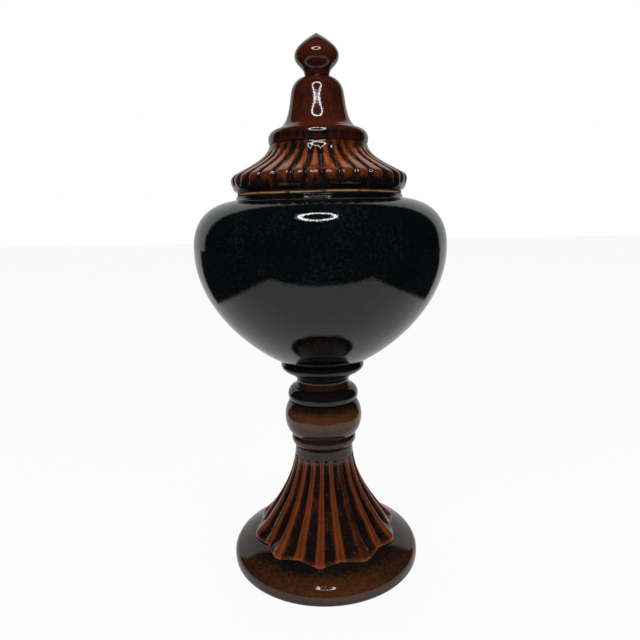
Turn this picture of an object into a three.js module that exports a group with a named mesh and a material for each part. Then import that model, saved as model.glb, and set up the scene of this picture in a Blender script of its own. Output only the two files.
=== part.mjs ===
// A lidded pedestal urn in glazed earthenware, built from the cast sections that a potter lutes together.
// Millimetres, +Z up. The origin is the centre of the foot's resting plane, and the front faces -Y.
import * as THREE from "three";

// Joints between the sections
const LUTE = 0.3; // layer of slip between two sections
const SPIGOT_CLEARANCE = 0.3; // all round a spigot in its socket
const SPIGOT_LENGTH = 4;
const REST_GAP = 0.3; // between the mouth's rim and the seat that rests on it
const LID_CLEARANCE = 0.8; // all round the lid's locating flange in the mouth
const STEM_BORE = 15; // radius of the sockets that run up the hollow stem
const STEM_WALL = 5;

// Foot plate
const PLATE_RADIUS = 80;
const PLATE_EDGE_HEIGHT = 9.5;
const PLATE_ARRIS = 3; // rounding of the resting edge
const PLATE_SHOULDER_RADIUS = 77;
const PLATE_SHOULDER_HEIGHT = 12.5;
const PLATE_CROWN_HEIGHT = 24;
const PLATE_HOLE_RADIUS = 46;
const PLATE_DOME_POWER = 1.6; // how late the domed top falls away
const PLATE_RECESS_RADIUS = 69;
const PLATE_RECESS_HEIGHT = 6;
const PLATE_THICKNESS = 8;

// Fluted foot
const FOOT_HEIGHT = 77.7;
const FOOT_TOP_RADIUS = 24.5;
const HEM_RADIUS = 60;
const HEM_WAVE = 2; // how far the hem's points reach out and in
const HEM_THICKNESS = 2.4;
const HEM_FADE_HEIGHT = 14; // the wave dies out over this height above the hem
const FOOT_RIDGES = 20;
const FOOT_RIDGE_TURN = THREE.MathUtils.degToRad(-5); // one long ridge stands this far from the front
const FLUTE_DEPTH_SHARE = 0.07; // of the foot's radius at that height
const FLUTE_TOP_MARGIN = 7; // plain band above the flutes
const FLUTE_TOP_FADE = 5;
const FLUTE_HEM_FADE = 7;
const FLUTE_HEM_SHARE = 0.2; // depth left at the hem
const FOOT_WALL = 9.5; // between the crests and the hollow at the top

// Stem sections, from the foot up
const BEAD = { height: 9, bottom: 25, bulge: 27.9, top: 26.4 };
const KNOP = { height: 29.2, bottom: 27, bulge: 34.2, top: 28 };
const RING = { height: 12, bottom: 27.6, bulge: 30.6, top: 25 };
const COLLAR = { height: 21.8, bottom: 24.6, waist: 21.6, rim: 34.7, top: 33.8 };
const COLLAR_WAIST_HEIGHT = 5;
const COLLAR_RIM_HEIGHT = 18;

// Bowl
const BOWL_FOOT_RADIUS = 34;
const BOWL_RADIUS = 100.4;
const BOWL_BELLY_HEIGHT = 92.5;
const BOWL_HEIGHT = 133.5;
const BOWL_WALL = 7;
const BOWL_FLOOR = 8.5;
const NECK_RADIUS = 65.8;
const NECK_HEIGHT = 2.5;
const MOUTH_RADIUS = 57.3;
const MOUTH_DEPTH = 8;

// Lid
const SEAT_RADIUS = 64.6;
const SEAT_THICKNESS = 2;
const FLANGE_DEPTH = 9;
const FLANGE_WALL = 4;
const SKIRT_HEIGHT = 36.1;
const SKIRT_TOP_RADIUS = 38.5;
const SKIRT_TOP_BORE = 33;
const EAVE_RADIUS = 69;
const EAVE_HEIGHT = 9.5;
const UNDERCUT_RADIUS = 67.2;
const UNDERCUT_HEIGHT = 2;
const LID_LOBES = 36;
const LID_LOBE_TURN = THREE.MathUtils.degToRad(-3);
const GROOVE_HALF_WIDTH = 2.9;
const GROOVE_DEPTH = 2.1;
const GROOVE_TOP_MARGIN = 2;
const GROOVE_FADE = 4;
const GROOVE_FOOT_HEIGHT = 4.5; // the grooves end this far above the skirt's lower edge
const DOME_HEIGHT = 50;
const DOME_BEAD_RADIUS = 39;
const DOME_WAIST_RADIUS = 31;
const DOME_WAIST_HEIGHT = 12;
const DOME_SHOULDER_RADIUS = 20.3;
const DOME_SHOULDER_HEIGHT = 39;
const DOME_CROWN_RADIUS = 9.6;
const DOME_WALL = 6;
const TENON_RADIUS = 5;
const TENON_LENGTH = 6;

// Finial
const FINIAL_HEIGHT = 31.7;
const FINIAL_RADIUS = 17;
const FINIAL_WIDEST_HEIGHT = 15.2;
const FINIAL_NECK_HEIGHT = 0.7;

// Facets round each kind of section, and along each curve of an outline
const BOWL_FACETS = 44;
const STEM_FACETS = 30;
const FINIAL_FACETS = 28;
const FACETS_PER_RIDGE = 4;
const FACETS_PER_LOBE = 4;
const CURVE_POINTS = 4;
const FOOT_CURVE_POINTS = 8;
const DOME_CURVE_POINTS = 4;

const GLAZES = {
  amber: { color: 0x6b2f10, roughness: 0.16, metalness: 0 },
  mahogany: { color: 0x3a140a, roughness: 0.14, metalness: 0 },
  brown: { color: 0x2a150c, roughness: 0.18, metalness: 0 },
  black: { color: 0x060708, roughness: 0.08, metalness: 0 },
  bareClay: { color: 0xb98a55, roughness: 0.85, metalness: 0 },
};

// Ease from 0 to 1 as value goes from low to high.
function rise(value, low, high) {
  return THREE.MathUtils.smoothstep(value, low, high);
}

// Turns an outline (x is the radius, y the height) about the upright axis. The outline runs up the outside.
// shape, if given, moves each point of the first outsideCount points: (radius, height, turn) to [radius, height].
function revolve(points, facets, outsideCount = 0, shape = null) {
  const geometry = new THREE.LatheGeometry(points, facets);
  if (shape) {
    const position = geometry.getAttribute("position");
    for (let facet = 0; facet <= facets; facet++) {
      const turn = (facet / facets) * 2 * Math.PI;
      for (let row = 0; row < outsideCount; row++) {
        const [radius, height] = shape(points[row].x, points[row].y, turn);
        const vertex = facet * points.length + row;
        position.setXYZ(vertex, radius * Math.sin(turn), height, radius * Math.cos(turn));
      }
    }
  }
  geometry.rotateX(Math.PI / 2);
  geometry.computeVertexNormals();
  return geometry;
}

// Closes an outline on itself, so that it turns into a ring-shaped solid.
function closed(points) {
  return [...points, points[0].clone()];
}

function section(name, glaze, geometry, height) {
  const mesh = new THREE.Mesh(geometry, new THREE.MeshStandardMaterial(GLAZES[glaze]));
  mesh.name = name;
  mesh.position.z = height;
  return mesh;
}

// How far the plate's domed top lies below its crown at a radius.
function domeDrop(radius) {
  const share = (radius - PLATE_HOLE_RADIUS) / (PLATE_SHOULDER_RADIUS - PLATE_HOLE_RADIUS);
  return (PLATE_CROWN_HEIGHT - PLATE_SHOULDER_HEIGHT) * Math.max(0, share) ** PLATE_DOME_POWER;
}

// Points of the domed top from one radius in to another, measured from the crown.
function domePoints(fromRadius, toRadius, count) {
  const points = [];
  for (let i = 0; i <= count; i++) {
    const radius = THREE.MathUtils.lerp(fromRadius, toRadius, i / count);
    points.push(new THREE.Vector2(radius, -domeDrop(radius)));
  }
  return points;
}

function footPlate() {
  const edge = new THREE.Path()
    .moveTo(PLATE_RECESS_RADIUS, 0)
    .lineTo(PLATE_RADIUS - PLATE_ARRIS, 0)
    .quadraticCurveTo(PLATE_RADIUS, 0, PLATE_RADIUS, PLATE_ARRIS)
    .lineTo(PLATE_RADIUS, PLATE_EDGE_HEIGHT - PLATE_ARRIS)
    .quadraticCurveTo(PLATE_RADIUS, PLATE_EDGE_HEIGHT, PLATE_SHOULDER_RADIUS, PLATE_SHOULDER_HEIGHT)
    .getPoints(3);
  const dome = domePoints(PLATE_SHOULDER_RADIUS, PLATE_HOLE_RADIUS, CURVE_POINTS).slice(1);
  dome.forEach((point) => (point.y += PLATE_CROWN_HEIGHT));
  const underside = [
    new THREE.Vector2(PLATE_HOLE_RADIUS, PLATE_CROWN_HEIGHT - PLATE_THICKNESS),
    new THREE.Vector2(PLATE_RECESS_RADIUS, PLATE_RECESS_HEIGHT),
  ];
  return revolve(closed([...edge, ...dome, ...underside]), BOWL_FACETS);
}

// The trumpet: ridges alternate between long and short at the hem, with hollow channels between them.
function flutedFoot() {
  const hemTop = HEM_THICKNESS - domeDrop(HEM_RADIUS);
  const crests = new THREE.CubicBezierCurve(
    new THREE.Vector2(HEM_RADIUS, hemTop),
    new THREE.Vector2(0.78 * HEM_RADIUS, 0.23 * FOOT_HEIGHT),
    new THREE.Vector2(FOOT_TOP_RADIUS, 0.56 * FOOT_HEIGHT),
    new THREE.Vector2(FOOT_TOP_RADIUS, FOOT_HEIGHT),
  ).getPoints(FOOT_CURVE_POINTS);
  const hem = new THREE.Vector2(HEM_RADIUS, -domeDrop(HEM_RADIUS));
  const hollow = new THREE.CubicBezierCurve(
    new THREE.Vector2(STEM_BORE, FOOT_HEIGHT - SPIGOT_LENGTH - LUTE),
    new THREE.Vector2(STEM_BORE + 1, 0.5 * FOOT_HEIGHT),
    new THREE.Vector2(0.78 * HEM_RADIUS - FOOT_WALL, 0.23 * FOOT_HEIGHT),
    new THREE.Vector2(PLATE_HOLE_RADIUS, 0),
  ).getPoints(CURVE_POINTS);
  const underside = domePoints(PLATE_HOLE_RADIUS, HEM_RADIUS, 2).slice(1, 2);
  const socket = new THREE.Vector2(STEM_BORE, FOOT_HEIGHT);
  const outline = closed([hem, ...crests, socket, ...hollow, ...underside]);
  const fluteTop = FOOT_HEIGHT - FLUTE_TOP_MARGIN;
  const moveOutside = (radius, height, turn) => {
    const along = turn - FOOT_RIDGE_TURN;
    const fromHem = height - hemTop;
    const wave = HEM_WAVE * Math.cos((along * FOOT_RIDGES) / 2) * (1 - rise(fromHem, 0, HEM_FADE_HEIGHT));
    const channel = (1 - Math.cos(along * FOOT_RIDGES)) / 2;
    const atTop = 1 - rise(height, fluteTop - FLUTE_TOP_FADE, fluteTop);
    const atHem = THREE.MathUtils.lerp(FLUTE_HEM_SHARE, 1, rise(fromHem, 0, FLUTE_HEM_FADE));
    const depth = fromHem < 0 ? 0 : FLUTE_DEPTH_SHARE * radius * channel * atTop * atHem;
    const slide = domeDrop(radius + wave) - domeDrop(radius);
    return [radius + wave - depth, fromHem <= 0 ? height - slide : height];
  };
  const facets = FOOT_RIDGES * FACETS_PER_RIDGE;
  const geometry = revolve(outline, facets, 1 + crests.length, moveOutside);
  return closeSeam(geometry, outline.length, facets);
}

// Gives the last point of a closed outline the place of the first, which the shaping moved.
function closeSeam(geometry, rows, facets) {
  const position = geometry.getAttribute("position");
  for (let facet = 0; facet <= facets; facet++) {
    const first = facet * rows;
    const last = first + rows - 1;
    position.setXYZ(last, position.getX(first), position.getY(first), position.getZ(first));
  }
  geometry.computeVertexNormals();
  return geometry;
}

// A hollow stem section: a spigot below, the outside curve, and a socket for the next section's spigot.
function stemSection(height, outside) {
  const spigot = STEM_BORE - SPIGOT_CLEARANCE;
  const bore = spigot - STEM_WALL;
  const socketFloor = height - SPIGOT_LENGTH - LUTE;
  return revolve(
    closed([
      new THREE.Vector2(bore, -SPIGOT_LENGTH),
      new THREE.Vector2(spigot, -SPIGOT_LENGTH),
      new THREE.Vector2(spigot, 0),
      ...outside,
      new THREE.Vector2(STEM_BORE, height),
      new THREE.Vector2(STEM_BORE, socketFloor),
      new THREE.Vector2(bore, socketFloor),
    ]),
    STEM_FACETS,
  );
}

// The outside of a rounded section, from its lower edge out over a bulge and in to its upper edge.
function bulgeOutline({ height, bottom, bulge, top }) {
  return new THREE.CubicBezierCurve(
    new THREE.Vector2(bottom, 0),
    new THREE.Vector2(bulge, 0.24 * height),
    new THREE.Vector2(bulge, 0.76 * height),
    new THREE.Vector2(top, height),
  ).getPoints(DOME_CURVE_POINTS);
}

function collarOutline() {
  return new THREE.Path()
    .moveTo(COLLAR.bottom, 0)
    .quadraticCurveTo(COLLAR.waist, 0.4 * COLLAR_WAIST_HEIGHT, COLLAR.waist + 0.4, COLLAR_WAIST_HEIGHT)
    .quadraticCurveTo(COLLAR.waist + 1, 0.5 * COLLAR_RIM_HEIGHT, COLLAR.rim - 4, 0.72 * COLLAR_RIM_HEIGHT)
    .quadraticCurveTo(COLLAR.rim, 0.85 * COLLAR_RIM_HEIGHT, COLLAR.rim, COLLAR_RIM_HEIGHT)
    .quadraticCurveTo(COLLAR.rim, COLLAR.height - 1, COLLAR.top, COLLAR.height)
    .getPoints(3);
}

// The squat bowl: a closed spigot below, a high shoulder, a short neck and a wide mouth.
function bowl() {
  const spigot = STEM_BORE - SPIGOT_CLEARANCE;
  const shoulderTop = BOWL_HEIGHT - NECK_HEIGHT;
  const inner = BOWL_RADIUS - BOWL_WALL;
  const mouthFoot = BOWL_HEIGHT - MOUTH_DEPTH;
  const outline = new THREE.Path()
    .moveTo(0, -SPIGOT_LENGTH)
    .lineTo(spigot, -SPIGOT_LENGTH)
    .lineTo(spigot, 0)
    .lineTo(BOWL_FOOT_RADIUS, 0)
    .bezierCurveTo(0.58 * BOWL_RADIUS, 0.13 * BOWL_BELLY_HEIGHT, BOWL_RADIUS, BOWL_BELLY_HEIGHT / 2,
      BOWL_RADIUS, BOWL_BELLY_HEIGHT)
    .bezierCurveTo(BOWL_RADIUS, BOWL_BELLY_HEIGHT + 20, NECK_RADIUS + 26, shoulderTop - 3.5,
      NECK_RADIUS, shoulderTop)
    .lineTo(NECK_RADIUS, BOWL_HEIGHT)
    .lineTo(MOUTH_RADIUS, BOWL_HEIGHT)
    .lineTo(MOUTH_RADIUS, mouthFoot)
    .bezierCurveTo(MOUTH_RADIUS + 27, mouthFoot - 2, inner, BOWL_BELLY_HEIGHT + 16, inner, BOWL_BELLY_HEIGHT)
    .bezierCurveTo(inner, 0.55 * BOWL_BELLY_HEIGHT, inner / 2, BOWL_FLOOR, 0, BOWL_FLOOR);
  return revolve(outline.getPoints(CURVE_POINTS), BOWL_FACETS);
}

// The bare ring under the lid: a thin seat that rests on the mouth's rim, and a flange that drops inside it.
function lidSeat() {
  const flange = MOUTH_RADIUS - LID_CLEARANCE;
  const bore = flange - FLANGE_WALL;
  return revolve(
    closed([
      new THREE.Vector2(bore, -FLANGE_DEPTH),
      new THREE.Vector2(flange, -FLANGE_DEPTH),
      new THREE.Vector2(flange, 0),
      new THREE.Vector2(SEAT_RADIUS, 0),
      new THREE.Vector2(SEAT_RADIUS, SEAT_THICKNESS),
      new THREE.Vector2(bore, SEAT_THICKNESS),
    ]),
    BOWL_FACETS,
  );
}

// The flared skirt: narrow grooves part wide rounded lobes, which turn over at the eave.
function lidSkirt() {
  const bore = MOUTH_RADIUS - LID_CLEARANCE - FLANGE_WALL;
  const lobes = new THREE.Path()
    .moveTo(SEAT_RADIUS, 0)
    .lineTo(UNDERCUT_RADIUS, UNDERCUT_HEIGHT)
    .quadraticCurveTo(EAVE_RADIUS, 0.5 * (UNDERCUT_HEIGHT + EAVE_HEIGHT), EAVE_RADIUS, EAVE_HEIGHT)
    .quadraticCurveTo(EAVE_RADIUS, EAVE_HEIGHT + 3, EAVE_RADIUS - 4, EAVE_HEIGHT + 5)
    .bezierCurveTo(EAVE_RADIUS - 17, EAVE_HEIGHT + 12, SKIRT_TOP_RADIUS + 1, SKIRT_HEIGHT - 9,
      SKIRT_TOP_RADIUS, SKIRT_HEIGHT)
    .getPoints(3);
  const inside = new THREE.Path()
    .moveTo(SKIRT_TOP_BORE, SKIRT_HEIGHT)
    .quadraticCurveTo(SKIRT_TOP_BORE, 0.7 * SKIRT_HEIGHT, bore, 0.2 * SKIRT_HEIGHT)
    .lineTo(bore, 0)
    .getPoints(2);
  const outline = closed([...lobes, ...inside]);
  const spacing = (2 * Math.PI) / LID_LOBES;
  const cutGrooves = (radius, height, turn) => {
    const fromLobe = THREE.MathUtils.euclideanModulo(turn - LID_LOBE_TURN, spacing);
    const fromGroove = radius * Math.abs(fromLobe - spacing / 2);
    const across = 1 - rise(fromGroove, 0, GROOVE_HALF_WIDTH);
    const atTop = 1 - rise(height, SKIRT_HEIGHT - GROOVE_TOP_MARGIN - GROOVE_FADE, SKIRT_HEIGHT - GROOVE_TOP_MARGIN);
    const atFoot = rise(height, GROOVE_FOOT_HEIGHT, GROOVE_FOOT_HEIGHT + GROOVE_FADE);
    return [radius - GROOVE_DEPTH * across * atTop * atFoot, height];
  };
  return revolve(outline, LID_LOBES * FACETS_PER_LOBE, lobes.length, cutGrooves);
}

// The bell: a rolled bead at its foot, hollow inside, with a hole in the crown for the finial's tenon.
function lidDome() {
  const hole = TENON_RADIUS + SPIGOT_CLEARANCE;
  const ceiling = DOME_HEIGHT - DOME_WALL - 1;
  const outline = new THREE.Path()
    .moveTo(SKIRT_TOP_BORE, 0)
    .lineTo(SKIRT_TOP_RADIUS, 0)
    .bezierCurveTo(DOME_BEAD_RADIUS + 1.4, 0.5 * DOME_WAIST_HEIGHT, DOME_BEAD_RADIUS - 1,
      DOME_WAIST_HEIGHT - 1.5, DOME_WAIST_RADIUS, DOME_WAIST_HEIGHT)
    .bezierCurveTo(0.73 * DOME_WAIST_RADIUS, DOME_WAIST_HEIGHT + 4, DOME_SHOULDER_RADIUS + 1.7,
      DOME_SHOULDER_HEIGHT - 9, DOME_SHOULDER_RADIUS, DOME_SHOULDER_HEIGHT)
    .bezierCurveTo(DOME_SHOULDER_RADIUS - 1.3, DOME_SHOULDER_HEIGHT + 6, DOME_CROWN_RADIUS + 6,
      DOME_HEIGHT - 1, DOME_CROWN_RADIUS, DOME_HEIGHT)
    .lineTo(hole, DOME_HEIGHT)
    .lineTo(hole, ceiling)
    .lineTo(DOME_SHOULDER_RADIUS - DOME_WALL - 2, ceiling)
    .lineTo(DOME_SHOULDER_RADIUS - DOME_WALL, DOME_SHOULDER_HEIGHT - 3)
    .quadraticCurveTo(DOME_SHOULDER_RADIUS - DOME_WALL + 3, DOME_WAIST_HEIGHT, SKIRT_TOP_BORE, 0);
  return revolve(outline.getPoints(DOME_CURVE_POINTS), STEM_FACETS);
}

// The onion-shaped knob, with its tenon below.
function finial() {
  const outline = new THREE.Path()
    .moveTo(0, -TENON_LENGTH)
    .lineTo(TENON_RADIUS, -TENON_LENGTH)
    .lineTo(TENON_RADIUS, 0)
    .lineTo(DOME_CROWN_RADIUS, 0)
    .lineTo(DOME_CROWN_RADIUS, FINIAL_NECK_HEIGHT)
    .bezierCurveTo(DOME_CROWN_RADIUS, 0.5 * FINIAL_WIDEST_HEIGHT, FINIAL_RADIUS, 0.53 * FINIAL_WIDEST_HEIGHT,
      FINIAL_RADIUS, FINIAL_WIDEST_HEIGHT)
    .bezierCurveTo(FINIAL_RADIUS, FINIAL_WIDEST_HEIGHT + 5.3, 0.56 * FINIAL_RADIUS, FINIAL_HEIGHT - 5.7,
      0, FINIAL_HEIGHT);
  return revolve(outline.getPoints(CURVE_POINTS), FINIAL_FACETS);
}

function pedestalAndBowl() {
  const group = new THREE.Group();
  let height = 0;
  group.add(section("foot_plate", "brown", footPlate(), height));
  height += PLATE_CROWN_HEIGHT + LUTE;
  group.add(section("fluted_foot", "amber", flutedFoot(), height));
  height += FOOT_HEIGHT + LUTE;
  group.add(section("stem_bead", "brown", stemSection(BEAD.height, bulgeOutline(BEAD)), height));
  height += BEAD.height + LUTE;
  group.add(section("stem_knop", "mahogany", stemSection(KNOP.height, bulgeOutline(KNOP)), height));
  height += KNOP.height + LUTE;
  group.add(section("stem_ring", "black", stemSection(RING.height, bulgeOutline(RING)), height));
  height += RING.height + LUTE;
  group.add(section("stem_collar", "black", stemSection(COLLAR.height, collarOutline()), height));
  height += COLLAR.height + LUTE;
  group.add(section("bowl", "black", bowl(), height));
  return { group, rimHeight: height + BOWL_HEIGHT };
}

// The lid in its own frame: the seat's resting face is at zero.
function lid() {
  const group = new THREE.Group();
  let height = 0;
  group.add(section("lid_seat", "bareClay", lidSeat(), height));
  height += SEAT_THICKNESS + LUTE;
  group.add(section("lid_skirt", "amber", lidSkirt(), height));
  height += SKIRT_HEIGHT + LUTE;
  group.add(section("lid_dome", "mahogany", lidDome(), height));
  height += DOME_HEIGHT + LUTE;
  group.add(section("finial", "mahogany", finial(), height));
  return group;
}

const urn = new THREE.Group();
const { group: body, rimHeight } = pedestalAndBowl();
const cover = lid();
cover.position.z = rimHeight + REST_GAP;
urn.add(body, cover);

export default urn;
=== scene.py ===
"""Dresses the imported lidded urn: fine turned and fluted surfaces, glazes, and the studio around them."""

import math

import bpy
import numpy as np
from mathutils import Matrix, Vector


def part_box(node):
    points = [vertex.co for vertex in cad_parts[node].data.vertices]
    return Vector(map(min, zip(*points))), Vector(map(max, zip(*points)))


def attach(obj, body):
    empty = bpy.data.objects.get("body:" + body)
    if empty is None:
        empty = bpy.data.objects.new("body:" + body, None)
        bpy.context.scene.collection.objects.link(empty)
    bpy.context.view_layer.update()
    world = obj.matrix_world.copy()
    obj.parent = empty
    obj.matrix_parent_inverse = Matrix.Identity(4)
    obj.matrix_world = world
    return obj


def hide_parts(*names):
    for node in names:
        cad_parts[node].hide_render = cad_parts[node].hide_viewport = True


bl_info = {
    "name": "Lidded urn",
    "version": (1, 0, 0),
    "blender": (4, 5, 0),
    "location": "3D View > Sidebar > Urn",
    "description": "Turned, fluted and glazed sections of a lidded pedestal urn",
    "category": "Add Mesh",
}

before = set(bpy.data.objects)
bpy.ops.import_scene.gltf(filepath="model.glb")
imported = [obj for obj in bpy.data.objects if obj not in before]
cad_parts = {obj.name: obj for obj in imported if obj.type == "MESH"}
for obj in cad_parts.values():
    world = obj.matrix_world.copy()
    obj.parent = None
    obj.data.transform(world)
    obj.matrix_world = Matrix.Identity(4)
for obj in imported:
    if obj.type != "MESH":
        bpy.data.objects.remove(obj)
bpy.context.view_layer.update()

MM = 0.001
BODY = "urn_body"
LID = "lid"

# How the sections meet, in millimetres: spigots in sockets, and a film of slip between the faces.
STEM_BORE = 15.0
STEM_WALL = 5.0
SPIGOT_LENGTH = 4.0
SPIGOT_CLEARANCE = 0.3
SPIGOT_RADIUS = STEM_BORE - SPIGOT_CLEARANCE
LUTE = 0.3

# The dome of the foot plate, which the hem of the trumpet foot lies on.
PLATE_HOLE = 46.0
PLATE_SHOULDER = 77.0
PLATE_FALL = 11.5
DOME_POWER = 1.6

# The bowl's mouth, and the seat and skirt of the lid over it.
MOUTH_RADIUS = 57.3
LID_CLEARANCE = 0.8
FLANGE_RADIUS = MOUTH_RADIUS - LID_CLEARANCE
FLANGE_WALL = 4.0
FLANGE_DEPTH = 9.0
LID_BORE = FLANGE_RADIUS - FLANGE_WALL
SEAT_RADIUS = 64.6
SEAT_THICKNESS = 2.0
SKIRT_TOP_RADIUS = 38.5
SKIRT_TOP_BORE = 33.0

# The glazes: strength of light bending, and the relief that a bump of full strength stands for, in metres.
GLAZE_IOR = 1.52
GLAZE_RELIEF = 0.0004


class UrnSizes(bpy.types.PropertyGroup):
    """Sizes of the surfaces, in millimetres where no unit is shown."""

    around: bpy.props.IntProperty(
        name="Facets round", description="Facets round a plain section", default=160)
    spacing: bpy.props.FloatProperty(
        name="Row spacing", description="Height of a row of facets on the foot plate, mm", default=0.9)
    soft_edge: bpy.props.FloatProperty(
        name="Soft edge", description="Rounding that glaze gives the plate's edges, mm", default=0.55)
    ridges: bpy.props.IntProperty(
        name="Foot ridges", description="Ridges round the trumpet foot", default=20)
    ridge_turn: bpy.props.FloatProperty(
        name="Ridge turn", description="Where one long ridge stands, from the front", subtype="ANGLE",
        default=math.radians(-5))
    flute_depth: bpy.props.FloatProperty(
        name="Flute depth", description="Channel depth as a share of the radius", default=0.075)
    hem_wave: bpy.props.FloatProperty(
        name="Hem wave", description="Reach of the hem's points, mm", default=2.9)
    lobes: bpy.props.IntProperty(
        name="Lid lobes", description="Lobes round the lid's skirt", default=36)
    lobe_turn: bpy.props.FloatProperty(
        name="Lobe turn", description="Where one lobe stands, from the front", subtype="ANGLE",
        default=math.radians(-3))
    groove_width: bpy.props.FloatProperty(
        name="Groove width", description="Half the width of a skirt groove, mm", default=2.7)
    groove_depth: bpy.props.FloatProperty(
        name="Groove depth", description="Depth of a skirt groove, mm", default=2.1)


def colour_property(name, description, default):
    """A colour that a user can pick, opaque unless changed."""
    return bpy.props.FloatVectorProperty(
        name=name, description=description, subtype="COLOR", size=4, min=0.0, max=1.0,
        default=(*default, 1.0))


class UrnColours(bpy.types.PropertyGroup):
    """Colours of the glazes and the clay."""

    amber: colour_property("Amber", "Thin glaze on the lid's lobes", (0.31, 0.062, 0.006))
    foot_amber: colour_property("Foot amber", "Thin glaze on the foot's ridges", (0.21, 0.042, 0.010))
    mahogany: colour_property("Mahogany", "Even glaze on bell and knob", (0.075, 0.0125, 0.005))
    brown: colour_property("Brown", "Thin glaze on bead, ring and collar", (0.045, 0.014, 0.007))
    edge_brown: colour_property("Edge brown", "Thin glaze on knop and plate", (0.085, 0.027, 0.009))
    pool: colour_property("Pool", "Thick glaze where it gathers", (0.006, 0.005, 0.005))
    black: colour_property("Black", "Mirror glaze of the bowl", (0.0018, 0.0026, 0.003))
    # Painted glints: pale specks that stand for light caught by fine bumps in the black glaze.
    glint_speck: colour_property("Speck", "Fine specks in the black glaze", (0.02, 0.028, 0.034))
    clay: colour_property("Clay", "Bare clay of the lid's seat", (0.46, 0.26, 0.11))
    clay_dark: colour_property("Clay marks", "Glaze ticks on the bare clay", (0.05, 0.025, 0.012))


def curve(*points, steps=14):
    """A Bezier curve: the Bernstein polynomials of its control points, at even steps."""
    t = np.linspace(0.0, 1.0, steps + 1)[:, None]
    control = np.array(points, float)
    last = len(control) - 1
    return sum(math.comb(last, k) * t**k * (1 - t) ** (last - k) * control[k] for k in range(last + 1))


def joined(*runs):
    """Runs of points end to end, without the corners that repeat."""
    points = np.vstack([np.atleast_2d(np.array(run, float)) for run in runs])
    apart = np.linalg.norm(np.diff(points, axis=0), axis=1) > 1e-6
    return points[np.r_[True, apart]]


def softened(points, spacing, blur, ring=True):
    """Even points along an outline, each the mean of its neighbours under a bell curve of width blur.
    A ring wraps round. An open outline starts and ends on the axis, and is mirrored across it."""
    if ring:
        points = np.vstack([points, points[:1]])
    along = np.r_[0.0, np.cumsum(np.linalg.norm(np.diff(points, axis=0), axis=1))]
    even = np.linspace(0.0, along[-1], max(12, int(along[-1] / spacing)) + 1)
    rows = np.column_stack([np.interp(even, along, points[:, k]) for k in (0, 1)])
    step = even[1]
    reach = max(1, math.ceil(3 * blur / step))
    weights = np.exp(-0.5 * (np.arange(-reach, reach + 1) * step / blur) ** 2)
    weights /= weights.sum()
    if ring:
        rows = rows[:-1]
        padded = np.vstack([rows[-reach:], rows, rows[:reach]])
    else:
        mirror = np.array([-1.0, 1.0])
        padded = np.vstack([rows[reach:0:-1] * mirror, rows, rows[-2:-reach - 2:-1] * mirror])
    return np.column_stack([np.convolve(padded[:, k], weights, mode="valid") for k in (0, 1)])


def outer_rows(rows, inner_line, margin):
    """A column that is true where a row lies further out than an inner line, by a margin in mm."""
    height, radius = zip(*sorted((z, r) for r, z in inner_line))
    return (rows[:, 0] > np.interp(rows[:, 1], height, radius) + margin)[:, None]


def rise(value, low, high):
    """0 below low, 1 above high, and 3t^2 - 2t^3 between."""
    t = np.clip((value - low) / (high - low), 0.0, 1.0)
    return t * t * (3 - 2 * t)


def bell(value, middle, width):
    """A bell curve, 1 at its middle: exp(-((value - middle) / width)^2)."""
    return np.exp(-((value - middle) / width) ** 2)


def dome_drop(radius):
    """How far the plate's dome lies below its crown: the fall times a power of the share of the way out."""
    way_out = np.clip((radius - PLATE_HOLE) / (PLATE_SHOULDER - PLATE_HOLE), 0, None)
    return PLATE_FALL * way_out ** DOME_POWER


def spin(name, rows, around, base, shape=None, ring=True):
    """Turns an outline (radius, height) about the axis: x = r sin a, y = -r cos a, z = base + height.
    shape moves the grid: (radius, height, angle) to (radius, height, thinness of the glaze).
    An outline that is no ring starts and ends on the axis, each time in one point with a fan round it."""
    turn = 2 * math.pi * np.arange(around) / around
    radius, angle = np.meshgrid(rows[:, 0], turn, indexing="ij")
    height = np.repeat(rows[:, 1:], around, axis=1)
    thin = np.zeros_like(radius)
    if shape:
        radius, height, thin = shape(radius, height, angle)
    grid = np.stack([radius * np.sin(angle), -radius * np.cos(angle), height + base], axis=-1) * MM
    points, thin = grid.reshape(-1, 3), thin.reshape(-1)
    count = len(rows)
    here = np.arange(around)
    there = (here + 1) % around
    if ring:
        low = np.arange(count)[:, None] * around
        high = (np.arange(count)[:, None] + 1) % count * around
        fans = []
    else:
        top = (count - 1) * around
        kept = np.r_[0, around:top, top]
        points, thin = points[kept], thin[kept]
        low = np.arange(count - 3)[:, None] * around + 1
        high = low + around
        last = len(points) - 1
        first_fan = np.stack([np.zeros_like(here), 1 + there, 1 + here], axis=-1)
        last_row = last - around
        last_fan = np.stack([np.full_like(here, last), last_row + here, last_row + there], axis=-1)
        fans = first_fan.tolist() + last_fan.tolist()
    quads = np.stack([low + here, low + there, high + there, high + here], axis=-1).reshape(-1, 4)
    mesh = bpy.data.meshes.new(name)
    mesh.from_pydata(points.tolist(), [], quads.tolist() + fans)
    mesh.attributes.new("thin", "FLOAT", "POINT").data.foreach_set("value", thin.astype(np.float32))
    mesh.shade_smooth()
    piece = bpy.data.objects.new(name, mesh)
    bpy.context.scene.collection.objects.link(piece)
    return piece


def finish_piece(piece, node, body, material):
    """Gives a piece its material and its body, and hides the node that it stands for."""
    piece.data.materials.append(material)
    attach(piece, body)
    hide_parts(node)


def seat_height(node):
    """Height in millimetres of the face that a section stands on, above its spigot."""
    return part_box(node)[0].z / MM + SPIGOT_LENGTH


def top_height(node):
    """Height in millimetres of a section's highest point."""
    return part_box(node)[1].z / MM


def widest(node):
    """Largest radius of a section in millimetres."""
    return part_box(node)[1].x / MM


def feed(tree, socket, value):
    """Links a socket to another node's, or sets it where the value is a constant."""
    if isinstance(value, bpy.types.NodeSocket):
        tree.links.new(value, socket)
    else:
        socket.default_value = value


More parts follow.
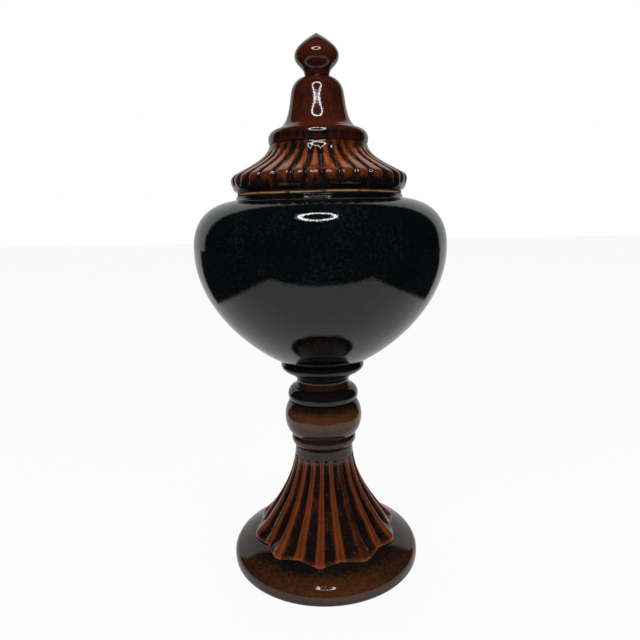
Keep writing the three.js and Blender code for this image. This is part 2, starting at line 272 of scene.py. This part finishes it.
def maths(tree, kind, *values):
    """One sum of sockets and constants."""
    made = tree.nodes.new("ShaderNodeMath")
    made.operation = kind
    for socket, value in zip(made.inputs, values):
        feed(tree, socket, value)
    return made.outputs[0]


def fade(tree, value, low, high, start=0.0, end=1.0):
    """From start to end in a smooth step, as the value goes from low to high."""
    made = tree.nodes.new("ShaderNodeMapRange")
    made.interpolation_type = "SMOOTHSTEP"
    names = ("Value", "From Min", "From Max", "To Min", "To Max")
    for name, given in zip(names, (value, low, high, start, end)):
        feed(tree, made.inputs[name], given)
    return made.outputs["Result"]


def mixed_colour(tree, share, first, second):
    """The first colour where the share is 0, the second where it is 1."""
    made = tree.nodes.new("ShaderNodeMix")
    made.data_type = "RGBA"
    share_place, first_place, second_place, result_place = 0, 6, 7, 2
    feed(tree, made.inputs[share_place], share)
    feed(tree, made.inputs[first_place], first)
    feed(tree, made.inputs[second_place], second)
    return made.outputs[result_place]


def mixed_shader(tree, share, first, second):
    """The first shader where the share is 0, the second where it is 1."""
    made = tree.nodes.new("ShaderNodeMixShader")
    for socket, value in zip(made.inputs, (share, first, second)):
        feed(tree, socket, value)
    return made.outputs[0]


def glaze_group():
    """The pattern of a running glaze: upright streaks and mottling between a thin and a thick colour."""
    found = bpy.data.node_groups.get("running_glaze")
    if found:
        return found
    group = bpy.data.node_groups.new("running_glaze", "ShaderNodeTree")
    colour, number = "NodeSocketColor", "NodeSocketFloat"
    for name, kind, value in (
        ("Thin Colour", colour, (0.4, 0.1, 0.02, 1)),
        ("Thick Colour", colour, (0.01, 0.01, 0.01, 1)),
        ("Thinness", number, 0.5),
        ("Streak Scale", number, 160.0),
        ("Streaks", number, 0.5),
        ("Mottle", number, 0.4),
        ("Roughness", number, 0.08),
    ):
        group.interface.new_socket(name=name, in_out="INPUT", socket_type=kind).default_value = value
    for name, kind in (("Colour", colour), ("Roughness", number), ("Height", number)):
        group.interface.new_socket(name=name, in_out="OUTPUT", socket_type=kind)
    given, out = group.nodes.new("NodeGroupInput"), group.nodes.new("NodeGroupOutput")
    place = group.nodes.new("ShaderNodeTexCoord").outputs["Object"]
    upright_squeeze = 0.13
    squeeze = group.nodes.new("ShaderNodeMapping")
    squeeze.inputs["Scale"].default_value = (1, 1, upright_squeeze)
    group.links.new(place, squeeze.inputs["Vector"])

    def noise(vector, scale, detail, rough):
        """A noise pattern from 0 to 1."""
        made = group.nodes.new("ShaderNodeTexNoise")
        for name, value in (("Vector", vector), ("Scale", scale), ("Detail", detail), ("Roughness", rough)):
            feed(group, made.inputs[name], value)
        return made.outputs["Fac"]

    def swing(pattern, strength):
        """A pattern turned into a swing about zero: (pattern - 0.5) * strength."""
        return maths(group, "MULTIPLY", maths(group, "SUBTRACT", pattern, 0.5), strength)

    streaks = noise(squeeze.outputs["Vector"], given.outputs["Streak Scale"], detail=4.0, rough=0.6)
    mottle = noise(place, scale=420.0, detail=5.0, rough=0.65)
    cloud = noise(place, scale=34.0, detail=3.0, rough=0.5)
    peel = noise(place, scale=900.0, detail=2.0, rough=0.5)
    cloud_strength, mottle_roughness, peel_height, cloud_height = 0.5, 0.05, 0.35, 3.0
    streaked = maths(group, "ADD", given.outputs["Thinness"], swing(streaks, given.outputs["Streaks"]))
    spots = maths(group, "ADD", swing(mottle, given.outputs["Mottle"]), swing(cloud, cloud_strength))
    clamp = group.nodes.new("ShaderNodeClamp")
    group.links.new(maths(group, "ADD", streaked, spots), clamp.inputs["Value"])
    thick, thin = given.outputs["Thick Colour"], given.outputs["Thin Colour"]
    shown = mixed_colour(group, clamp.outputs[0], thick, thin)
    rough_spots = maths(group, "MULTIPLY", mottle, mottle_roughness)
    rough = maths(group, "ADD", given.outputs["Roughness"], rough_spots)
    fine, broad = maths(group, "MULTIPLY", peel, peel_height), maths(group, "MULTIPLY", cloud, cloud_height)
    group.links.new(shown, out.inputs["Colour"])
    group.links.new(rough, out.inputs["Roughness"])
    group.links.new(maths(group, "ADD", fine, broad), out.inputs["Height"])
    return group


def glaze(name, thin, thick, thinness=None, streaks=0.5, mottle=0.4, rough=0.05, scale=160.0, bump=0.25):
    """A glossy glaze. With no thinness given, the piece's own thin attribute says where it is thin."""
    material = bpy.data.materials.new(name)
    material.use_nodes = True
    tree = material.node_tree
    shader = tree.nodes["Principled BSDF"]
    pattern = tree.nodes.new("ShaderNodeGroup")
    pattern.node_tree = glaze_group()
    if thinness is None:
        attribute = tree.nodes.new("ShaderNodeAttribute")
        attribute.attribute_name = "thin"
        thinness = attribute.outputs["Fac"]
    for socket, value in (
        ("Thin Colour", thin), ("Thick Colour", thick), ("Thinness", thinness),
        ("Streak Scale", scale), ("Streaks", streaks), ("Mottle", mottle), ("Roughness", rough),
    ):
        feed(tree, pattern.inputs[socket], value)
    height = tree.nodes.new("ShaderNodeBump")
    height.inputs["Strength"].default_value = bump
    height.inputs["Distance"].default_value = GLAZE_RELIEF
    tree.links.new(pattern.outputs["Height"], height.inputs["Height"])
    tree.links.new(pattern.outputs["Colour"], shader.inputs["Base Color"])
    tree.links.new(pattern.outputs["Roughness"], shader.inputs["Roughness"])
    tree.links.new(height.outputs["Normal"], shader.inputs["Normal"])
    shader.inputs["IOR"].default_value = GLAZE_IOR
    return material


class URN_OT_plate(bpy.types.Operator):
    """Make the domed foot plate"""

    bl_idname = "urn.plate"
    bl_label = "Foot plate"

    def execute(self, context):
        sizes, colours = context.scene.urn_sizes, context.scene.urn_colours
        edge, crown = widest("foot_plate"), top_height("foot_plate")
        shoulder_height = crown - PLATE_FALL
        edge_rounding, edge_low, edge_high = 3.0, 6.5, 9.5
        hole_depth, recess, recess_height = 8.0, 69.0, 6.0
        inwards = np.linspace(PLATE_SHOULDER, PLATE_HOLE, 30)
        rows = softened(joined(
            [(recess, 0)],
            curve((edge - edge_rounding, 0), (edge, 0), (edge, edge_rounding)),
            curve((edge, edge_low), (edge, edge_high), (PLATE_SHOULDER, shoulder_height)),
            np.column_stack([inwards, crown - dome_drop(inwards)]),
            [(PLATE_HOLE, crown - hole_depth), (recess, recess_height)]), sizes.spacing, sizes.soft_edge)

        def thin_at_edge(radius, height, angle):
            """Thin towards the edge, more so in three places round it, and thick low on the edge."""
            outwards, upwards = rise(radius, 62, 74), rise(height, 1, 9)
            three_places = 0.75 + 0.25 * np.cos(3 * angle)
            return radius, height, 0.7 * outwards * upwards * three_places

        piece = spin("foot_plate_skin", rows, sizes.around, 0, thin_at_edge)
        material = glaze("foot_plate_glaze", colours.edge_brown, colours.pool,
                         streaks=0.3, mottle=1.7, rough=0.02, bump=0.12)
        finish_piece(piece, "foot_plate", BODY, material)
        return {"FINISHED"}


class URN_OT_fluted_foot(bpy.types.Operator):
    """Make the trumpet foot with its ridges and zigzag hem"""

    bl_idname = "urn.fluted_foot"
    bl_label = "Fluted foot"

    def execute(self, context):
        sizes, colours = context.scene.urn_sizes, context.scene.urn_colours
        base = top_height("foot_plate") + LUTE
        tall = top_height("fluted_foot") - base
        hem, hem_thickness, top_radius, facets_per_ridge = 60.0, 2.4, 24.5, 20
        knee, knee_height, knee_wall = 0.78 * hem, 0.23 * tall, 9.5
        hem_top = hem_thickness - dome_drop(hem)
        crests = curve(
            (hem, hem_top), (knee, knee_height), (top_radius, 0.56 * tall), (top_radius, tall), steps=60)
        hollow = curve(
            (STEM_BORE, tall - SPIGOT_LENGTH - LUTE), (STEM_BORE + 1, 0.5 * tall),
            (knee - knee_wall, knee_height), (PLATE_HOLE, 0), steps=30)
        under = np.linspace(PLATE_HOLE, hem, 12)
        rows = softened(joined(
            [(hem, -dome_drop(hem))], crests, [(STEM_BORE, tall)], hollow,
            np.column_stack([under, -dome_drop(under)])), spacing=1.0, blur=0.45)
        outside = outer_rows(rows, hollow, margin=1.0)
        dark_ridge_at, dark_ridge_width = math.radians(31), 0.15

        def flute(radius, height, angle):
            """Ridges are the crests of cos(20 a). With b = (1 - cos(20 a)) / 2, which is 1 between two
            ridges, a channel is 0.25 b + 0.75 rise(b, 0.1, 0.8) of its full depth. The hem reaches out
            and in as the zigzag arcsin(0.97 cos(10 a)) * 2 / pi, and follows the plate's dome as it does.
            The crests are lighter: thin glaze with a painted highlight along their edges, and painted shade
            with thick glaze in the channels. The glaze is thin in a line at the hem."""
            sway = 0.012 * np.sin(3 * angle + 1) + 0.01 * np.sin(7 * angle)
            along = angle - sizes.ridge_turn + sway
            above = height - hem_top
            zigzag = 2 / math.pi * np.arcsin(0.97 * np.cos(along * sizes.ridges / 2))
            wave = sizes.hem_wave * zigzag * (1 - rise(above, 0, 14)) * outside
            slide = (dome_drop(radius + wave) - dome_drop(radius)) * (above <= 0.5)
            between = (1 - np.cos(along * sizes.ridges)) / 2
            channel = 0.25 * between + 0.75 * rise(between, 0.1, 0.8)
            below_top = 1 - rise(height, tall - 12, tall - 7)
            off_hem = 0.15 + 0.85 * rise(above, 0, 7)
            depth = sizes.flute_depth * radius * channel * below_top * off_hem * (above > 0) * outside
            # Painted highlight along the crests' edges and painted shade in the channels, carried in the thin
            # attribute together with the glaze's thinness.
            crest_edge_highlight = bell(between, 0.2, 0.13)
            crest = (0.42 + 0.5 * crest_edge_highlight) * (1 - rise(between, 0.25, 0.7))
            dark_ridge = 1 - 0.8 * bell(angle, dark_ridge_at, dark_ridge_width)
            hem_line = bell(above, 0, 0.8) * outside
            thin = 0.95 * crest * below_top * dark_ridge + 0.45 * hem_line
            return radius + wave - depth, height - slide, np.clip(thin, 0, 1)

        piece = spin("fluted_foot_skin", rows, sizes.ridges * facets_per_ridge, base, flute)
        material = glaze("fluted_foot_glaze", colours.foot_amber, colours.pool,
                         streaks=0.8, mottle=0.6, rough=0.06)
        finish_piece(piece, "fluted_foot", BODY, material)
        return {"FINISHED"}


class URN_OT_stem(bpy.types.Operator):
    """Make the bead, knop, ring and collar of the stem"""

    bl_idname = "urn.stem"
    bl_label = "Stem"

    def execute(self, context):
        sizes, colours = context.scene.urn_sizes, context.scene.urn_colours
        bore = SPIGOT_RADIUS - STEM_WALL

        def bulge(tall, foot, belly, top):
            """A round outline that swells from its foot towards the belly's radius and back to its top."""
            return curve((foot, 0), (belly, 0.24 * tall), (belly, 0.76 * tall), (top, tall), steps=40)

        def bead(tall):
            return bulge(tall, foot=25, belly=27.9, top=26.4)

        def knop(tall):
            return bulge(tall, foot=27, belly=34.2, top=28)

        def ring(tall):
            return bulge(tall, foot=27.6, belly=30.6, top=25)

        def collar(tall):
            """A waisted neck that flares into a dish with an upright edge."""
            foot, waist, flank, dish, lip = 24.6, 22.0, 30.7, 34.7, 33.8
            waist_height, flank_height, dish_height = 5.0, 12.96, 18.0
            return joined(
                curve((foot, 0), (waist - 0.4, 2), (waist, waist_height)),
                curve((waist, waist_height), (waist + 0.6, 9), (flank, flank_height)),
                curve((flank, flank_height), (dish, 15.3), (dish, dish_height)),
                curve((dish, dish_height), (dish, tall - 1), (lip, tall)))

        def bead_thin(radius, height, angle):
            return radius, height, np.full_like(radius, 0.35)

        def knop_thin(radius, height, angle):
            """Thin in a belt round the middle, thick at the top."""
            belt = rise(height, 9, 14) * (1 - rise(height, 20, 26))
            return radius, height, 0.3 + 0.65 * belt - 0.3 * rise(height, 24, 28)

        def ring_thin(radius, height, angle):
            return radius, height, np.full_like(radius, -0.6)

        def collar_thin(radius, height, angle):
            """Brown on the neck, black on the dish."""
            return radius, height, (1 - rise(height, 4, 7)) - 0.5

        sections = (
            ("stem_bead", bead, bead_thin, "stem_brown_glaze", colours.brown),
            ("stem_knop", knop, knop_thin, "stem_brown_glaze", colours.edge_brown),
            ("stem_ring", ring, ring_thin, "black_glaze", colours.brown),
            ("stem_collar", collar, collar_thin, "black_glaze", colours.brown),
        )
        for node, outside, thin, slot, colour in sections:
            base = seat_height(node)
            tall = top_height(node) - base
            socket_floor = tall - SPIGOT_LENGTH - LUTE
            spigot = [(bore, -SPIGOT_LENGTH), (SPIGOT_RADIUS, -SPIGOT_LENGTH), (SPIGOT_RADIUS, 0)]
            socket = [(STEM_BORE, tall), (STEM_BORE, socket_floor), (bore, socket_floor)]
            rows = softened(joined(spigot, outside(tall), socket), spacing=0.6, blur=0.3)
            piece = spin(node + "_skin", rows, sizes.around, base, thin)
            material = glaze(node + "_glaze", colour, colours.pool, streaks=0.5, mottle=0.9, rough=0.05)
            finish_piece(piece, node, BODY, material)
        return {"FINISHED"}


class URN_OT_bowl(bpy.types.Operator):
    """Make the squat black bowl"""

    bl_idname = "urn.bowl"
    bl_label = "Bowl"

    def execute(self, context):
        sizes, colours = context.scene.urn_sizes, context.scene.urn_colours
        base = seat_height("bowl")
        tall = top_height("bowl") - base
        out, wall, foot, neck = widest("bowl"), 7.0, 34.0, 65.8
        inner, belly, floor, rim, throat = out - wall, 92.5, 8.5, 2.5, 8.0
        outside = joined(
            [(0, -SPIGOT_LENGTH), (SPIGOT_RADIUS, -SPIGOT_LENGTH), (SPIGOT_RADIUS, 0), (foot, 0)],
            curve((foot, 0), (0.58 * out, 0.13 * belly), (out, belly / 2), (out, belly), steps=60),
            curve((out, belly), (out, belly + 20), (neck + 26, tall - 6), (neck, tall - rim), steps=50),
            [(neck, tall), (MOUTH_RADIUS, tall)])
        inside = joined(
            curve((MOUTH_RADIUS, tall - throat), (MOUTH_RADIUS + 27, tall - throat - 2),
                  (inner, belly + 16), (inner, belly), steps=40),
            curve((inner, belly), (inner, 0.55 * belly), (inner / 2, floor), (0, floor), steps=50))
        rows = softened(joined(outside, inside), spacing=1.0, blur=0.5, ring=False)
        piece = spin("bowl_skin", rows, sizes.around, base, ring=False)
        # The mottle mixes pale specks into the black: painted glints of light on the glaze's fine bumps.
        material = glaze("bowl_glaze", colours.glint_speck, colours.black, thinness=0.0,
                         streaks=0.2, mottle=1.5, rough=0.02, bump=0.28)
        finish_piece(piece, "bowl", BODY, material)
        return {"FINISHED"}


class URN_OT_lid(bpy.types.Operator):
    """Make the lid's bare seat, its lobed skirt and its bell"""

    bl_idname = "urn.lid"
    bl_label = "Lid"

    def execute(self, context):
        sizes, colours = context.scene.urn_sizes, context.scene.urn_colours
        self.seat(colours)
        self.skirt(sizes, colours)
        self.dome(sizes, colours)
        return {"FINISHED"}

    def seat(self, colours):
        """The bare ring that rests on the mouth's rim, with a flange that drops inside it."""
        base = top_height("lid_seat") - SEAT_THICKNESS
        facets = 320
        flange = [(LID_BORE, -FLANGE_DEPTH), (FLANGE_RADIUS, -FLANGE_DEPTH), (FLANGE_RADIUS, 0)]
        seat = [(SEAT_RADIUS, 0), (SEAT_RADIUS, SEAT_THICKNESS), (LID_BORE, SEAT_THICKNESS)]
        rows = softened(joined(flange, seat), spacing=0.5, blur=0.2)

        def marks(radius, height, angle):
            """A bare line at half height, with ticks of glaze where sin(31 a) + sin(17 a + 1) peaks."""
            line_height = SEAT_THICKNESS / 2 + 0.2 * np.sin(5 * angle)
            ticks = rise(np.sin(31 * angle) + np.sin(17 * angle + 1), 1.35, 1.8)
            bare = 1 - rise(np.abs(height - line_height), 0.25, 0.55)
            return radius, height, bare * (1 - ticks)

        piece = spin("lid_seat_skin", rows, facets, base, marks)
        material = glaze("bare_clay", colours.clay, colours.clay_dark,
                         streaks=0.1, mottle=0.5, rough=0.75, bump=0.5)
        finish_piece(piece, "lid_seat", LID, material)

    def skirt(self, sizes, colours):
        """The flared skirt. It is thickest at the eave, near its foot."""
        base = top_height("lid_seat") + LUTE
        tall = top_height("lid_skirt") - base
        eave, eave_height, facets_per_lobe = 69.0, 9.5, 16
        eave_top = (eave - 4, eave_height + 5)
        outside = joined(
            [(SEAT_RADIUS, 0)], curve((67.2, 2), (eave, 5.75), (eave, eave_height)),
            curve((eave, eave_height), (eave, eave_height + 3), eave_top),
            curve(eave_top, (eave - 17, eave_height + 12), (SKIRT_TOP_RADIUS + 1, tall - 9),
                  (SKIRT_TOP_RADIUS, tall), steps=50))
        inside = joined(
            curve((SKIRT_TOP_BORE, tall), (SKIRT_TOP_BORE, 0.7 * tall), (LID_BORE, 0.2 * tall)),
            [(LID_BORE, 0)])
        rows = softened(joined(outside, inside), spacing=0.7, blur=0.45)
        on_outside = outer_rows(rows, inside, margin=1.5)
        pitch = 2 * math.pi / sizes.lobes
        lobe_rise, lobe_sink = 0.5, 0.25

        def groove(radius, height, angle):
            """Narrow grooves of even width, measured along the arc, part lobes that widen downwards.
            The glaze is thin on the lobes, most of all above the eave, and dark near the skirt's top."""
            sway = 0.012 * np.sin(5 * angle) + 0.008 * np.sin(11 * angle + 2)
            bent = angle - sizes.lobe_turn + sway
            from_groove = radius * np.abs(np.mod(bent, pitch) - pitch / 2)
            across = 1 - rise(from_groove, 0, sizes.groove_width)
            crown = lobe_rise * rise(from_groove, 0, radius * pitch / 2)
            below_top, above_foot = 1 - rise(height, tall - 12, tall - 2), rise(height, 4.0, 9.0)
            shallower = 1 - 0.45 * rise(height, 0.4 * tall, 0.8 * tall)
            relief = below_top * above_foot * shallower * (crown - lobe_sink - sizes.groove_depth * across)
            ridge = rise(from_groove, 0.35 * sizes.groove_width, 1.6 * sizes.groove_width)
            up_the_lobe = 0.28 + 0.5 * rise(height, eave_height + 2, eave_height + 9)
            fade_out = 1 - 0.7 * rise(height, tall - 9, tall - 1)
            top_edge = 0.1 * rise(height, tall - 5, tall)
            thin = ridge * up_the_lobe * rise(height, 5.5, 10) * fade_out + top_edge
            return radius + on_outside * relief, height, np.clip(thin, 0, 1) * on_outside

        piece = spin("lid_skirt_skin", rows, sizes.lobes * facets_per_lobe, base, groove)
        material = glaze("lid_skirt_glaze", colours.amber, colours.pool,
                         streaks=0.85, mottle=0.7, rough=0.06, scale=260.0)
        finish_piece(piece, "lid_skirt", LID, material)

    def dome(self, sizes, colours):
        """The bell: a rolled bead at its foot, a waist, a shoulder, and a socket for the knob."""
        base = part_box("lid_dome")[0].z / MM
        tall = top_height("lid_dome") - base
        bead_top, shoulder = (31, 12), (20.3, 39)
        socket, socket_depth, crown_inside = 5.3, 7.0, (14.3, 36)
        rows = softened(joined(
            [(SKIRT_TOP_BORE, 0), (SKIRT_TOP_RADIUS, 0)],
            curve((SKIRT_TOP_RADIUS, 0), (40.4, 6), (38, 10.5), bead_top, steps=24),
            curve(bead_top, (22.6, 16), (22, 30), shoulder, steps=40),
            curve(shoulder, (19, 45), (15.6, 49), (9.6, 50), steps=20),
            [(socket, tall), (socket, tall - socket_depth), (12.3, tall - socket_depth), crown_inside],
            curve(crown_inside, (17.3, 12), (SKIRT_TOP_BORE, 0))), spacing=0.6, blur=0.35)

        def thin_where_it_runs(radius, height, angle):
            """Thinner in the bead's upper edge, thicker on its lower half."""
            thin = 0.62 + 0.3 * bell(height, 12.5, 2.5) - 0.5 * bell(height, 5, 3)
            return radius, height, thin

        piece = spin("lid_dome_skin", rows, sizes.around, base, thin_where_it_runs)
        material = glaze("lid_dome_glaze", colours.mahogany, colours.pool,
                         streaks=1.7, mottle=0.8, rough=0.05, scale=420.0)
        finish_piece(piece, "lid_dome", LID, material)


class URN_OT_finial(bpy.types.Operator):
    """Make the onion-shaped knob"""

    bl_idname = "urn.finial"
    bl_label = "Finial"

    def execute(self, context):
        sizes, colours = context.scene.urn_sizes, context.scene.urn_colours
        base = top_height("lid_dome") + LUTE
        tall = top_height("finial") - base
        tenon, tenon_length, foot, foot_height = 5.0, 6.0, 9.6, 0.7
        wide, wide_height = 17.0, 15.2
        rows = softened(joined(
            [(0, -tenon_length), (tenon, -tenon_length), (tenon, 0), (foot, 0), (foot, foot_height)],
            curve((foot, foot_height), (foot, 0.5 * wide_height), (wide, 0.53 * wide_height),
                  (wide, wide_height), steps=30),
            curve((wide, wide_height), (wide, wide_height + 5.3), (0.56 * wide, tall - 5.7),
                  (0, tall), steps=30)), spacing=0.5, blur=0.35, ring=False)

        def thin_on_shoulder(radius, height, angle):
            return radius, height, 0.45 + 0.35 * rise(radius, 11, 16)

        piece = spin("finial_skin", rows, sizes.around, base, thin_on_shoulder, ring=False)
        material = glaze("finial_glaze", colours.mahogany, colours.pool,
                         streaks=1.0, mottle=1.2, rough=0.05, scale=300.0)
        finish_piece(piece, "finial", LID, material)
        return {"FINISHED"}


# The stage, in metres, with the camera in front of the urn at -Y.
CAMERA_BACK = 0.454
CAMERA_HEIGHT = 0.294
CAMERA_SIDE = -0.0014
CAMERA_PITCH = math.radians(-10.7)
CAMERA_ROLL = math.radians(-1.13)
CAMERA_LENS = 31.22
CAMERA_SENSOR = 36.0
CAMERA_NEAR = 0.01
FLOOR_HALF = 6.0
FLOOR_GLOW_SHARE = 0.94
SHEET_FRONT = 0.44
SHEET_SIDE = 0.42
SHEET_SPREAD = 1.2
SHEET_EDGE = 0.02
SHEET_COLOUR = (0.7, 0.7, 0.69, 1)
ROOM_FLOOR_COLOUR = (0.012, 0.014, 0.014, 1)
WHITE = (1, 1, 1, 1)
BACKDROP_COLOUR = (0.97, 1, 0.99, 1)
BACKDROP_FROM = 0.55
BACKDROP_TO = 0.61
BACKDROP_SKEW = -0.06
BACKDROP_GLOW = 0.58
ROOM_GLOW = 0.004
LAMP_AIM = Vector((0, 0, 0.2))
RING_LIGHT_PLACE = Vector((-0.007, -0.14, 0.495))
RING_LIGHT_FACING = Vector((0.0, 0.609, -0.794))
RING_LIGHT_RADIUS = 0.05
RING_LIGHT_TUBE = 0.0042
RING_LIGHT_GLOW = 28.0


class URN_OT_stage(bpy.types.Operator):
    """Make the floor, the studio light and the camera"""

    bl_idname = "urn.stage"
    bl_label = "Stage"

    def execute(self, context):
        scene = context.scene
        scene.view_settings.view_transform = "Standard"
        self.camera(scene)
        self.floor(scene)
        self.world(scene)
        self.lamps(scene)
        self.ring_light(scene)
        return {"FINISHED"}

    def camera(self, scene):
        """The photo's view: from in front and above, looking a little down."""
        data = bpy.data.cameras.new("camera")
        data.lens = CAMERA_LENS
        data.sensor_width = CAMERA_SENSOR
        data.clip_start = CAMERA_NEAR
        camera = bpy.data.objects.new("camera", data)
        tilt = Matrix.Rotation(math.radians(90) + CAMERA_PITCH, 4, "X")
        roll = Matrix.Rotation(CAMERA_ROLL, 4, "Z")
        camera.matrix_world = Matrix.Translation((CAMERA_SIDE, -CAMERA_BACK, CAMERA_HEIGHT)) @ tilt @ roll
        scene.collection.objects.link(camera)
        scene.camera = camera

    def floor(self, scene):
        """A floor that is white for the camera. The glaze mirrors it as a pale sheet in a dark room."""
        half = FLOOR_HALF
        corners = [(-half, -half, 0), (half, -half, 0), (half, half, 0), (-half, half, 0)]
        mesh = bpy.data.meshes.new("floor")
        mesh.from_pydata(corners, [], [(0, 1, 2, 3)])
        floor = bpy.data.objects.new("floor", mesh)
        scene.collection.objects.link(floor)
        material = bpy.data.materials.new("white_floor")
        material.use_nodes = True
        tree = material.node_tree
        tree.nodes.clear()
        out = tree.nodes.new("ShaderNodeOutputMaterial")
        path = tree.nodes.new("ShaderNodeLightPath")
        to_camera, to_glaze = path.outputs["Is Camera Ray"], path.outputs["Is Glossy Ray"]
        ground = mixed_colour(tree, self.sheet(tree, to_camera), ROOM_FLOOR_COLOUR, SHEET_COLOUR)
        matt = tree.nodes.new("ShaderNodeBsdfDiffuse")
        tree.links.new(ground, matt.inputs["Color"])
        glow = tree.nodes.new("ShaderNodeEmission")
        glow.inputs["Strength"].default_value = 1.0
        tree.links.new(mixed_colour(tree, to_camera, ground, WHITE), glow.inputs["Color"])
        share = maths(tree, "MULTIPLY", maths(tree, "MAXIMUM", to_camera, to_glaze), FLOOR_GLOW_SHARE)
        tree.links.new(mixed_shader(tree, share, matt.outputs[0], glow.outputs[0]), out.inputs[0])
        mesh.materials.append(material)

    def sheet(self, tree, to_camera):
        """1 where the pale sheet lies and 0 on the dark floor round it. For the camera it is 1 everywhere."""
        place = tree.nodes.new("ShaderNodeTexCoord")
        split = tree.nodes.new("ShaderNodeSeparateXYZ")
        tree.links.new(place.outputs["Object"], split.inputs[0])
        front = fade(tree, split.outputs["Y"], -SHEET_FRONT - SHEET_EDGE, -SHEET_FRONT + SHEET_EDGE)
        spread = maths(tree, "MULTIPLY", split.outputs["Y"], SHEET_SPREAD)
        limit = maths(tree, "MAXIMUM", SHEET_SIDE, spread)
        inside = maths(tree, "SUBTRACT", limit, maths(tree, "ABSOLUTE", split.outputs["X"]))
        side = fade(tree, inside, -SHEET_EDGE, SHEET_EDGE)
        return maths(tree, "MAXIMUM", to_camera, maths(tree, "MULTIPLY", front, side))

    def world(self, scene):
        """White to the camera. Everything else sees a dark room with a pale backdrop behind the urn."""
        world = bpy.data.worlds.new("studio")
        world.use_nodes = True
        scene.world = world
        tree = world.node_tree
        tree.nodes.clear()
        out = tree.nodes.new("ShaderNodeOutputWorld")
        path = tree.nodes.new("ShaderNodeLightPath")
        white = tree.nodes.new("ShaderNodeBackground")
        white.inputs["Color"].default_value = WHITE
        room = tree.nodes.new("ShaderNodeBackground")
        room.inputs["Color"].default_value = BACKDROP_COLOUR
        place = tree.nodes.new("ShaderNodeTexCoord")
        split = tree.nodes.new("ShaderNodeSeparateXYZ")
        tree.links.new(place.outputs["Generated"], split.inputs[0])
        backwards = maths(tree, "MULTIPLY_ADD", split.outputs["X"], BACKDROP_SKEW, split.outputs["Y"])
        strength = fade(tree, backwards, BACKDROP_FROM, BACKDROP_TO, ROOM_GLOW, BACKDROP_GLOW)
        tree.links.new(strength, room.inputs["Strength"])
        seen = mixed_shader(tree, path.outputs["Is Camera Ray"], room.outputs[0], white.outputs[0])
        tree.links.new(seen, out.inputs[0])

    def lamps(self, scene):
        """Soft lamps over the front left, the front right and above, which don't show in the glaze."""
        for name, place, size, power in (
            ("key_lamp", Vector((-0.7, -1.1, 1.2)), 0.9, 17.0),
            ("fill_lamp", Vector((0.9, -1.0, 0.8)), 0.9, 10.0),
            ("top_lamp", Vector((0.0, 0.1, 1.6)), 0.8, 8.0),
        ):
            data = bpy.data.lights.new(name, "AREA")
            data.size = size
            data.energy = power
            lamp = bpy.data.objects.new(name, data)
            aim = (LAMP_AIM - place).to_track_quat("-Z", "Y")
            lamp.matrix_world = Matrix.Translation(place) @ aim.to_matrix().to_4x4()
            lamp.visible_glossy = False
            scene.collection.objects.link(lamp)

    def ring_light(self, scene):
        """A glowing torus above the camera, which the glaze mirrors as a bright loop."""
        around, across = 96, 10
        turn = 2 * math.pi * np.arange(around) / around
        roll = 2 * math.pi * np.arange(across) / across
        big, small = np.meshgrid(turn, roll, indexing="ij")
        radius = RING_LIGHT_RADIUS + RING_LIGHT_TUBE * np.cos(small)
        points = np.stack([radius * np.cos(big), radius * np.sin(big), RING_LIGHT_TUBE * np.sin(small)], -1)
        facing = RING_LIGHT_FACING.to_track_quat("-Z", "Y").to_matrix().to_4x4()
        matrix = np.array(Matrix.Translation(RING_LIGHT_PLACE) @ facing)
        points = points.reshape(-1, 3) @ matrix[:3, :3].T + matrix[:3, 3]
        row = np.arange(around)[:, None] * across
        row_next = (row + across) % (around * across)
        column = np.arange(across)
        column_next = (column + 1) % across
        faces = np.stack([row + column, row_next + column, row_next + column_next, row + column_next], -1)
        mesh = bpy.data.meshes.new("ring_light")
        mesh.from_pydata(points.tolist(), [], faces.reshape(-1, 4).tolist())
        ring = bpy.data.objects.new("ring_light", mesh)
        material = bpy.data.materials.new("ring_glow")
        material.use_nodes = True
        tree = material.node_tree
        tree.nodes.clear()
        glow = tree.nodes.new("ShaderNodeEmission")
        glow.inputs["Strength"].default_value = RING_LIGHT_GLOW
        tree.links.new(glow.outputs[0], tree.nodes.new("ShaderNodeOutputMaterial").inputs[0])
        mesh.materials.append(material)
        ring.visible_camera = False
        ring.visible_diffuse = False
        ring.visible_shadow = False
        scene.collection.objects.link(ring)


class URN_PT_panel(bpy.types.Panel):
    """Lists the pieces of the urn"""

    bl_idname = "URN_PT_panel"
    bl_label = "Lidded urn"
    bl_space_type = "VIEW_3D"
    bl_region_type = "UI"
    bl_category = "Urn"

    def draw(self, context):
        for maker in PIECES:
            self.layout.operator(maker.bl_idname)


PIECES = (URN_OT_plate, URN_OT_fluted_foot, URN_OT_stem, URN_OT_bowl, URN_OT_lid, URN_OT_finial, URN_OT_stage)
CLASSES = (UrnSizes, UrnColours, *PIECES, URN_PT_panel)


def register():
    for item in CLASSES:
        bpy.utils.register_class(item)
    bpy.types.Scene.urn_sizes = bpy.props.PointerProperty(type=UrnSizes)
    bpy.types.Scene.urn_colours = bpy.props.PointerProperty(type=UrnColours)


def unregister():
    del bpy.types.Scene.urn_colours
    del bpy.types.Scene.urn_sizes
    for item in reversed(CLASSES):
        bpy.utils.unregister_class(item)


def main():
    register()
    bpy.ops.urn.plate()
    bpy.ops.urn.fluted_foot()
    bpy.ops.urn.stem()
    bpy.ops.urn.bowl()
    bpy.ops.urn.lid()
    bpy.ops.urn.finial()
    bpy.ops.urn.stage()


if __name__ == "__main__":
    main()
